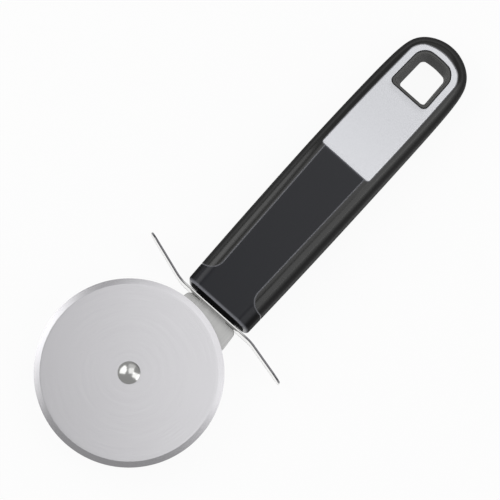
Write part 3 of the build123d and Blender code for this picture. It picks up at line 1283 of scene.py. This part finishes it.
@dataclass
class Core:
    """The hard core: collar, panel, the bed under the plate, and the nose that the guard stands against.

    Attributes:
        form: The handle's form.
        end_round: Rounding of the front end's upper and lower edge.
        corner_round: Rounding of its upright edges.
        end_highlight: How many times as wide as at a seam the highlight painted along the front end's edge
            is.
        columns: Points across the front and across the back of a section.
        end_sections: Sections on the front end's rounding.
        collar_steps: Steps from there to the seam behind the collar.
        hook_sections: Sections in the hook.
        panel_sections: Sections from there to the plate.
        panel_rim: Distance of the first and last of these from hook and plate.
        bed_steps: Steps across the plate's bed, from its edge to the hanging hole.
        edge_points: Rings of points on each rounded edge of the bed and the nose.
        hole_gap: Gap between the bed and the eyelet.
        nose_half_width: Half width of the nose.
        nose_half_height: Half height of the nose.
        nose_round: Radius of the nose's corners.
        nose_edge: Rounding of its front edge.
    """

    form: HandleForm
    end_round: float = 0.6
    corner_round: float = 1.4
    end_highlight: float = 4.0
    columns: int = 67
    end_sections: int = 16
    collar_steps: int = 7
    hook_sections: int = 22
    panel_sections: int = 36
    panel_rim: float = 1.0
    bed_steps: int = 8
    edge_points: int = 5
    hole_gap: float = 0.05
    nose_half_width: float = 8.5
    nose_half_height: float = 4.5
    nose_round: float = 1.5
    nose_edge: float = 0.3

    def stations(self) -> Array:
        """Places of the sections along x, which crowd at the front edge, in the hook and beside the seams.

        Returns:
            The places, from the front end to the plate.
        """
        form, fine, rim = self.form, self.form.seam_rows, self.panel_rim
        hook_x, plate_x = form.collar_x + form.hook_round, form.plate.near_x
        collar_start, collar_end = form.front_x + self.corner_round, form.collar_x - form.seam_round
        hook = (form.hook_round - form.seam_round) * quarter(self.hook_sections)[1:]
        return np.concatenate(
            [
                form.front_x + self.corner_round * quarter(self.end_sections),
                np.linspace(collar_start, collar_end, self.collar_steps + 1)[1:-1],
                form.collar_x - SEAM_STEP - fine[::-1],
                form.collar_x + SEAM_STEP + fine,
                form.collar_x + SEAM_STEP + form.seam_round + hook,
                np.linspace(hook_x + rim, plate_x - rim, self.panel_sections),
                plate_x - fine[::-1],
            ]
        )

    def face_points(self, x: Array, face: Face) -> tuple[Array, Array, Array]:
        """Skin of the core on one side: columns crowd to the edges as the sine of equal steps.

        Args:
            x: Places of the sections.
            face: Front or back.

        Returns:
            The points, as sections by columns by 3, how much painted highlight each has, and how steep,
            which sets its painted shade.
        """
        form = self.form
        line, _ = form.side()
        full = np.interp(x, line[:, 0], line[:, 1])
        half = np.where(x < form.collar_x, full, form.panel_half(x))
        share = np.sin(np.linspace(RIGHT_ANGLE, -RIGHT_ANGLE, self.columns))
        y = half[:, None] * share
        plan = np.stack([x[:, None] + 0 * y, y], axis=-1)
        distance = form.seam_distance(plan, face)
        inset = full[:, None] - np.abs(y)
        lean = form.lean(plan[..., 0], inset, face)
        end_radius = self.end_round + (self.corner_round - self.end_round) * lean**2
        from_end = plan[..., 0] - form.front_x
        sink = np.maximum(rounding(form.seam_round, distance), rounding(end_radius, from_end))
        outward = np.stack([0 * y, np.sign(y)], axis=-1)
        points = form.skin(plan, inset, outward, face, sink)
        # Painted highlights along the seams and the front edge; painted shade on steep flanks and on the
        # front end's rounding.
        rubbed = np.maximum(form.rubbed(distance), form.rubbed(from_end / self.end_highlight))
        return points, rubbed, form.steep(np.maximum(lean, np.clip(1 - from_end / end_radius, 0, 1)))

    def build_body(self) -> None:
        """Makes the collar and panel from sections along the handle."""
        x = self.stations()
        sides = zip(self.face_points(x, Face.FRONT), self.face_points(x, Face.BACK))
        rows, rubbed, flank = [np.concatenate([front, back[:, ::-1]], axis=1) for front, back in sides]
        # The faces that close both ends, the front end's face among them, are wholly painted as shade.
        self.dress(MAKER.tube("core_collar_and_panel", rows, flank_at_ends=1.0, rubbed=rubbed, flank=flank))

    def build_bed(self) -> None:
        """Makes the bed under the plate as closed rings between its outline and the hanging hole."""
        form = self.form
        insets = edge_insets(form.seam_round, self.edge_points)
        outer = [form.bed.loop(inset) for inset in insets]
        inner = [form.hole.loop(-self.hole_gap - inset) for inset in insets[::-1]]
        plan = rings_between(outer, inner, self.bed_steps)
        distance = form.seam_distance(plan, Face.BACK)
        height = rounding(form.seam_round, distance)
        height[-len(insets) :] = rounding(form.seam_round, insets[::-1])[:, None]
        front_plan = plan[::-1]
        front = lifted(front_plan, form.top(front_plan[..., 0]) - form.sheet)
        rows = np.concatenate([lifted(plan, height), front])
        # Painted highlights along the seams on the back.
        rubbed = np.concatenate([form.rubbed(distance), 0 * distance])
        self.dress(MAKER.grid("core_plate_bed", rows, True, rubbed=rubbed))

    def build_nose(self) -> None:
        """Makes the nose: a rounded rectangle carried forwards, with a softened edge."""
        middle_z = NodeBox.of("finger_guard").centre[2]
        seat_x = NodeBox.of("handle_core").low[0]
        width, height = self.nose_half_width, self.nose_half_height
        corners = np.array([(-width, -height), (width, -height), (width, height), (-width, height)])
        front = seat_x + self.nose_edge * quarter(self.edge_points)
        sections = []
        for x in (*front, self.form.front_x + self.end_round):
            inset = float(rounding(self.nose_edge, x - seat_x))
            shrunk = corners - np.sign(corners) * inset
            loop = rounded_loop(shrunk, [self.nose_round - inset] * 4, side_count=2, corner_count=8)
            sections.append(np.column_stack([0 * loop[:, 0] + x, loop[:, 0], middle_z + loop[:, 1]]))
        rows = np.array(sections)
        # The whole nose is painted as shade, in the gap behind the guard.
        self.dress(MAKER.tube("core_nose", rows, flank_at_ends=1.0, flank=np.ones(rows.shape[:2])))

    def dress(self, piece: Object) -> None:
        """Finishes a piece of the core and lets it ride on the handle.

        Args:
            piece: The piece.
        """
        finish_piece(piece, CORE_PLASTIC)
        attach(piece, "handle")
        if piece.name != "core_nose":
            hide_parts("handle_core")
        log.info("%s: %d faces", piece.name, len(piece.data.polygons))

    def build(self) -> None:
        """Makes the three pieces of the core."""
        self.build_body()
        self.build_bed()
        self.build_nose()


@dataclass
class Grip:
    """The soft overmould: a closed section carried round the outline, from one hook to the other.

    Attributes:
        form: The handle's form.
        skin_points: Points on the front and on the back of a section, before its rounded edge.
        sections: Sections from the hook to the tip, before those that crowd at steps.
        hook_sections: Sections in the hook.
        plate_sections: Sections in the first millimetre beside the plate.
        turn_weight: Millimetres of length that a radian of turning counts for.
        least_step: Least distance between sections.
        shelf_drop: Least drop from the seam to the ledge under the plate.
    """

    form: HandleForm
    skin_points: int = 30
    sections: int = 190
    hook_sections: int = 26
    plate_sections: int = 10
    turn_weight: float = 45.0
    least_step: float = 0.0045
    shelf_drop: float = 0.1

    def stations(self) -> tuple[Array, Array]:
        """Places of the sections on the outline: spaced by length plus turning, and crowded at steps.

        Returns:
            The points and inward normals of the sections, one a row.
        """
        form = self.form
        line, normal = form.side()
        step, turning = [np.linalg.norm(np.diff(part, axis=0), axis=1) for part in (line, normal)]
        path = np.concatenate([[0], np.cumsum(step + self.turn_weight * turning)])
        fine, start_x, plate_x = form.seam_rows, form.collar_x + SEAM_STEP, form.plate.near_x
        crowded = [
            start_x + fine,
            start_x + form.hook_round * quarter(self.hook_sections),
            plate_x - SEAM_STEP - fine,
            plate_x + SEAM_STEP + fine,
            plate_x + quarter(self.plate_sections),
        ]
        marked = np.interp(np.concatenate(crowded), line[:, 0], path)
        hook_end = float(np.interp(form.collar_x + form.hook_round, line[:, 0], path))
        even = np.linspace(hook_end, path[-1], self.sections)
        places = np.unique(np.round(np.concatenate([marked, even]), decimals=4))
        kept = places[np.concatenate([[True], np.diff(places) > self.least_step])]
        spots, inward = [
            np.column_stack([np.interp(kept, path, part[:, i]) for i in (0, 1)]) for part in (line, normal)
        ]
        inward = unit(inward)
        spots[-1], inward[-1] = (form.tail_x, 0.0), (-1.0, 0.0)
        return spots, inward

    def face_points(self, line: Array, normal: Array, face: Face) -> tuple[Array, Array, Array, Array]:
        """Skin of the grip on one side: insets grow as the square of equal steps, up to the seam's rounding.

        Args:
            line: Points of the outline.
            normal: Inward normals there.
            face: Front or back.

        Returns:
            The points, as sections by columns by 3, how much painted highlight each has, how steep each is,
            which sets its painted shade, and each section's reach.
        """
        form, clear = self.form, 1e-4
        reach = ray_reach(line + normal * clear, normal, form.border(face))
        share = np.linspace(0, 1, self.skin_points) ** 2
        bend = edge_insets(form.seam_round, form.seam_points)[::-1][1:]
        inset = np.concatenate([(reach[:, None] - form.seam_round) * share, reach[:, None] - bend], axis=1)
        plan = line[:, None] + normal[:, None] * inset[..., None]
        distance = form.seam_distance(plan, face)
        distance[:, -1] = 0
        outward = -normal[:, None] + 0 * plan
        points = form.skin(plan, inset, outward, face, rounding(form.seam_round, distance))
        return points, form.rubbed(distance), form.steep(form.lean(plan[..., 0], inset, face)), reach

    def build(self) -> None:
        """Makes the grip's half and mirrors it: the tip's section is shared."""
        form = self.form
        line, normal = self.stations()
        *front, front_reach = self.face_points(line, normal, Face.FRONT)
        *back, back_reach = self.face_points(line, normal, Face.BACK)
        shelf = []
        for reach in (front_reach, back_reach):
            plan = line + normal * reach[:, None]
            level = np.minimum(form.top(plan[:, 0]) - form.sheet, front[0][:, -1, 2] - self.shelf_drop)
            shelf.append(lifted(plan, level))
        hidden = np.zeros((len(line), 2))
        parts = zip(front, (np.stack(shelf, axis=1), hidden, hidden), back)
        half, rubbed, flank = [np.concatenate([a, b, c[:, ::-1]], axis=1) for a, b, c in parts]
        rows = np.concatenate([half, half[-2::-1] * (1, -1, 1)])
        rubbed, flank = [np.concatenate([marks, marks[-2::-1]]) for marks in (rubbed, flank)]
        # Painted highlights along the seams, and painted shade on the steep flanks.
        grip = MAKER.tube("soft_overmould", rows, flank_at_ends=0.0, rubbed=rubbed, flank=flank)
        finish_piece(grip, GRIP_RUBBER)
        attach(grip, "handle")
        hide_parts("soft_grip")
        log.info("soft_overmould: %d sections, %d faces", len(rows), len(grip.data.polygons))


@dataclass
class Inlay:
    """The metal plate let into the front, and the eyelet of the hanging hole in its window.

    Attributes:
        form: The handle's form.
        thickness: Thickness of the plate.
        edge_round: Rounding of the plate's sheared edges.
        edge_points: Rings of points on that rounding.
        plate_steps: Steps across the plate, from its edge to its window.
        seam_gap: Gap between plate and grip.
        window_gap: Gap between plate and eyelet.
        lip: Width of the eyelet's flat lip.
        lip_round: Rounding of the lip's outer edge.
        mouth_round: Rounding of its inner edge.
        lip_points: Rings of points on each of these.
        lip_highlight: Numbers of rings before and after the lip's start that carry a painted highlight.
        wall_steps: Steps from the mouth to the waist.
        waist_height: Height of the funnel's waist over the back.
        waist_band: Height of the straight band under it.
        back_flare: How far the funnel opens again from its waist to the back.
        back_bevel: Bevel of its edge there.
    """

    form: HandleForm
    thickness: float = 0.8
    edge_round: float = 0.2
    edge_points: int = 5
    plate_steps: int = 13
    seam_gap: float = 0.04
    window_gap: float = 0.22
    lip: float = 0.6
    lip_round: float = 0.22
    mouth_round: float = 0.35
    lip_points: int = 6
    lip_highlight: tuple[int, int] = (3, 4)
    wall_steps: int = 12
    waist_height: float = 3.2
    waist_band: float = 0.3
    back_flare: float = 0.8
    back_bevel: float = 0.3

    def build_plate(self) -> None:
        """Makes the plate as closed rings between its outline and its window, draped on the front face."""
        form = self.form
        insets = edge_insets(self.edge_round, self.edge_points)
        outer = [form.plate.loop(self.seam_gap + inset) for inset in insets]
        inner = [form.hole.loop(-self.window_gap - inset) for inset in insets[::-1]]
        plan = rings_between(outer, inner, self.plate_steps)
        sink = np.zeros(len(plan))
        sink[: len(insets)] = rounding(self.edge_round, insets)
        sink[-len(insets) :] = rounding(self.edge_round, insets)[::-1]
        height = form.top(plan[..., 0])
        front, back = lifted(plan, height - sink[:, None]), lifted(plan, height - self.thickness)
        plate = MAKER.grid("inlay_sheet", np.concatenate([front, back[::-1]]), True)
        finish_piece(plate, INLAY_METAL)
        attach(plate, "handle")
        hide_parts("inlay_plate")
        log.info("inlay_sheet: %d faces", len(plate.data.polygons))

    def build_eyelet(self) -> None:
        """Makes the eyelet as rings carried round the hole: lip, funnel to the waist, flare, and back."""
        form, edge, soft = self.form, self.lip_round, self.mouth_round
        turn = np.linspace(0, RIGHT_ANGLE, self.lip_points)
        outer = [(edge * (1 - math.sin(a)), -edge * (1 - math.cos(a))) for a in turn[::-1]]
        mouth = [(self.lip + soft * math.sin(a), -soft * (1 - math.cos(a))) for a in turn]
        rings = []
        for inset, lift in outer + mouth:
            loop = form.hole.loop(inset)
            rings.append(lifted(loop, form.top(loop[:, 0]) + lift))
        start, floor = rings[-1], lifted(form.waist.loop(0), self.waist_height)
        rings += [start + (floor - start) * share for share in np.linspace(0, 1, self.wall_steps + 1)[1:]]
        flare, bevel = self.back_flare, self.back_bevel
        band_z = self.waist_height - self.waist_band
        for widened, level in ((0.0, band_z), (flare, bevel), (flare + bevel, 0.0)):
            rings.append(lifted(form.waist.loop(-widened), level))
        back = [(edge, 0.0)] + [(edge * (1 - math.sin(a)), edge * (1 - math.cos(a))) for a in turn[1:]]
        rings += [lifted(form.hole.loop(inset), level) for inset, level in back]
        rows = np.array(rings)
        rubbed, flank = np.zeros((2, *rows.shape[:2]))
        # A painted highlight lightens the lip, and painted shade darkens the funnel's walls.
        before, after = self.lip_highlight
        rubbed[len(outer) - before : len(outer) + after] = 1.0
        flank[len(outer) + len(mouth) : -len(back)] = 1.0
        eyelet = MAKER.grid("hanging_eyelet", rows, True, rubbed=rubbed, flank=flank)
        finish_piece(eyelet, EYELET_PLASTIC)
        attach(eyelet, "handle")
        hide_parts("hang_eyelet")
        log.info("hanging_eyelet: %d faces", len(eyelet.data.polygons))

    def build(self) -> None:
        """Makes the plate and the eyelet."""
        self.build_plate()
        self.build_eyelet()


# Studio


@dataclass(frozen=True)
class SoftBox:
    """A lamp with an even, square-cornered face, turned to a point on the cutter.

    Attributes:
        clock: Direction from that point in the picture, in hours of a clock.
        tilt: Angle from straight above, in degrees.
        reach: Distance from that point, in millimetres.
        width: Length of the face across that direction.
        height: Length of the face towards the zenith.
        radiance: Brightness of its face, where 1 is white.
        shift: How far the point lies from the picture's middle along the handle, towards its hanging end.
        turn: Turn of the face about its own middle, in degrees.
    """

    clock: float
    tilt: float
    reach: float
    width: float
    height: float
    radiance: float
    shift: float = 0.0
    turn: float = 0.0


@dataclass
class Studio:
    """Camera, floor, lamps and world.

    Attributes:
        picture_width: Width of the picture at the object.
        middle: Place that the middle of the picture shows.
        across: Direction of the picture's right side, in plan.
        tilt: Angle of the camera from straight above, in degrees.
        roll: Turn of the camera about its view, in degrees.
        distance: Distance of the camera.
        sensor: Width of its sensor.
        sight_m: How far it sees, in metres.
        boxes: The lamps.
        world: Brightness of the world.
        glow: Share of the floor's look that is plain white.
        floor_half_m: Half width of the floor, in metres.
        floor_gap_m: How far the floor lies under the cutter, in metres.
    """

    picture_width: float = 170.76
    middle: tuple[float, float, float] = (-38.26, 4.73, 8.75)
    across: tuple[float, float] = (0.6718, -0.7409)
    tilt: float = 8.0
    roll: float = 0.245
    distance: float = 3000.0
    sensor: float = 36.0
    sight_m: float = 20.0
    boxes: tuple[SoftBox, ...] = (
        SoftBox(1.57, 17.0, 628.0, 430.0, 450.0, 0.9, turn=-47.0),
        SoftBox(12.7, 52.0, 1300.0, 1000.0, 800.0, 0.35),
        SoftBox(9.6, 48.0, 1300.0, 800.0, 1050.0, 1.2),
        SoftBox(3.8, 48.0, 1300.0, 800.0, 1050.0, 1.1),
        SoftBox(10.4, 51.0, 500.0, 190.0, 230.0, 1.45, shift=15.0),
        SoftBox(9.9, 31.0, 500.0, 190.0, 120.0, 0.62, shift=15.0),
        SoftBox(4.4, 73.0, 700.0, 560.0, 200.0, 1.3, shift=230.0),
    )
    world: float = 0.35
    glow: float = 0.93
    floor_half_m: float = 3.0
    floor_gap_m: float = 0.0001

    def axes(self) -> tuple[Array, Array, Array]:
        """Picture's right, its upward direction in plan, and straight up."""
        x, y = self.across
        return np.array([x, y, 0.0]), np.array([-y, x, 0.0]), np.array([0.0, 0.0, 1.0])

    def look(self, data: bpy.types.ID, place: Array, target: Array, right: Array) -> Object:
        """Puts a camera or lamp at a place, facing a target.

        Args:
            data: The camera or lamp.
            place: Where it stands.
            target: Where it looks.
            right: Direction that its own x axis lies nearest to.

        Returns:
            Its object, linked to the scene.
        """
        back = unit(place - target)
        side = unit(right - back * (right @ back))
        matrix = np.eye(4)
        matrix[:3] = np.column_stack([side, np.cross(back, side), back, place])
        thing = bpy.data.objects.new(data.name, data)
        thing.matrix_world = Matrix(matrix.tolist())
        bpy.context.scene.collection.objects.link(thing)
        return thing

    def build_camera(self) -> None:
        """Makes the camera: far off with a long lens, as the photograph shows hardly any perspective."""
        right, ahead, up = self.axes()
        lean, turn = math.radians(self.tilt), math.radians(self.roll)
        towards = up * math.cos(lean) - ahead * math.sin(lean)
        middle = np.array(self.middle) * MM
        data = bpy.data.cameras.new("camera")
        data.sensor_width = self.sensor
        data.lens = self.sensor * self.distance / self.picture_width
        data.clip_end = self.sight_m
        side = right * math.cos(turn) - ahead * math.sin(turn)
        bpy.context.scene.camera = self.look(data, middle + towards * self.distance * MM, middle, side)

    def build_lamps(self) -> None:
        """Makes the lamps: power is pi times area times radiance, as for any face that shines evenly."""
        right, ahead, up = self.axes()
        for number, box in enumerate(self.boxes):
            target = (np.array(self.middle) + (box.shift, 0.0, 0.0)) * MM
            clock, lean, turn = np.radians((box.clock * DEGREES_AN_HOUR, box.tilt, box.turn))
            aside = ahead * math.cos(clock) + right * math.sin(clock)
            towards = up * math.cos(lean) + aside * math.sin(lean)
            data = bpy.data.lights.new(f"soft_box_{number}", "AREA")
            data.shape = "RECTANGLE"
            data.size, data.size_y = box.width * MM, box.height * MM
            data.energy = math.pi * data.size * data.size_y * box.radiance
            side = aside * math.sin(turn) - np.cross(aside, up) * math.cos(turn)
            self.look(data, target + towards * box.reach * MM, target, side).visible_camera = False

    def build_floor(self) -> None:
        """Makes the pale floor, wide and flat, just under the cutter.

        It is plain white to the camera and to glossy surfaces, but for a share of matt paper that keeps the
        cutter's shadow.
        """
        half, low = self.floor_half_m, CAD_BOX[0][2] - self.floor_gap_m
        corners = [(-half, -half, low), (half, -half, low), (half, half, low), (-half, half, low)]
        mesh = bpy.data.meshes.new("floor")
        mesh.from_pydata(corners, [], [(0, 1, 2, 3)])
        floor = bpy.data.objects.new("floor", mesh)
        bpy.context.scene.collection.objects.link(floor)
        material, tree = new_material("white_paper")
        paper = add_node(tree, "BsdfDiffuse", {"Color": linear("#f2f2f2")}).outputs[0]
        glow = add_node(tree, "Emission", {"Color": linear("#ffffff"), "Strength": 1.0}).outputs[0]
        path = add_node(tree, "LightPath").outputs
        seen = path["Is Camera Ray"]
        for kind in ("Is Glossy Ray", "Is Transmission Ray"):
            seen = add_node(tree, "Math", {0: seen, 1: path[kind]}, operation="MAXIMUM").outputs[0]
        share = add_node(tree, "Math", {0: seen, 1: self.glow}, operation="MULTIPLY").outputs[0]
        output_surface(tree, add_node(tree, "MixShader", {0: share, 1: paper, 2: glow}).outputs[0])
        mesh.materials.append(material)

    def build_world(self) -> None:
        """Makes the even grey world that fills the shadows."""
        world = bpy.data.worlds.new("studio")
        world.use_nodes = True
        tree = world.node_tree
        tree.nodes.clear()
        air = add_node(tree, "Background", {"Color": linear("#ffffff"), "Strength": self.world}).outputs[0]
        backdrop = add_node(tree, "Background", {"Color": linear("#f4f4f4"), "Strength": 1.0}).outputs[0]
        seen = add_node(tree, "LightPath").outputs["Is Camera Ray"]
        mixed = add_node(tree, "MixShader", {0: seen, 1: air, 2: backdrop}).outputs[0]
        add_node(tree, "OutputWorld", {"Surface": mixed})
        bpy.context.scene.world = world

    def build(self) -> None:
        """Makes the whole studio."""
        self.build_camera()
        self.build_lamps()
        self.build_floor()
        self.build_world()
        bpy.context.scene.view_settings.view_transform = "Standard"
        log.info("studio: %d lamps", len(self.boxes))


def main() -> None:
    """Builds the cutter piece by piece, then the studio."""
    logging.basicConfig(level=logging.INFO, format="%(name)s: %(message)s")
    form = HandleForm()
    for maker in (Wheel(), Axle(), Guard(), Core(form), Grip(form), Inlay(form), Studio()):
        maker.build()


if __name__ == "__main__":
    main()
